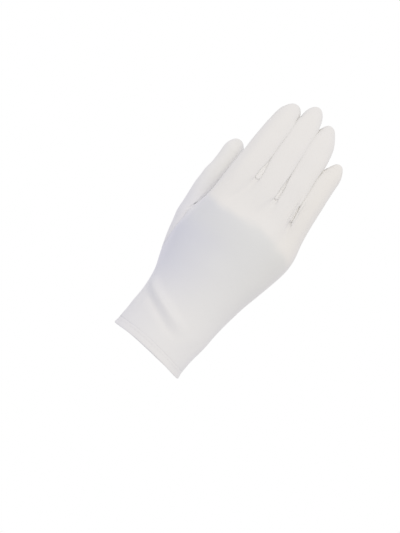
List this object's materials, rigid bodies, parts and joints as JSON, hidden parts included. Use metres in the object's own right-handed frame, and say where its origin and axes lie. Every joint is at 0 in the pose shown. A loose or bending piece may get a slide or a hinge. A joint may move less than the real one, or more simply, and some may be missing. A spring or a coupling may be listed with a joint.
{
  "type": "dress glove",
  "caption": "Short white stretch-satin dress glove in its worn form, hollow, with seamed fingers and a hemmed wrist.",
  "frame": {"origin": "centre of the wrist opening, on the slanted plane of the hem's edge", "axes": "+Z from the wrist opening to the fingertips; -Y is the way the back of the hand faces, +Y the palm; -X is the thumb's side, +X the little finger's. A hand goes in along +Z."},
  "size_m": [0.0955, 0.0449, 0.2279],
  "materials": {
    "glove_cloth": "satin",
    "hem_cloth": "satin"
  },
  "bodies": {
    "root": {"back_panel": "glove_cloth", "palm_panel": "glove_cloth", "thumb": "glove_cloth", "fourchette_index_middle": "glove_cloth", "fourchette_middle_ring": "glove_cloth", "fourchette_ring_little": "glove_cloth", "cuff_hem": "hem_cloth"}
  },
  "joints": []
}
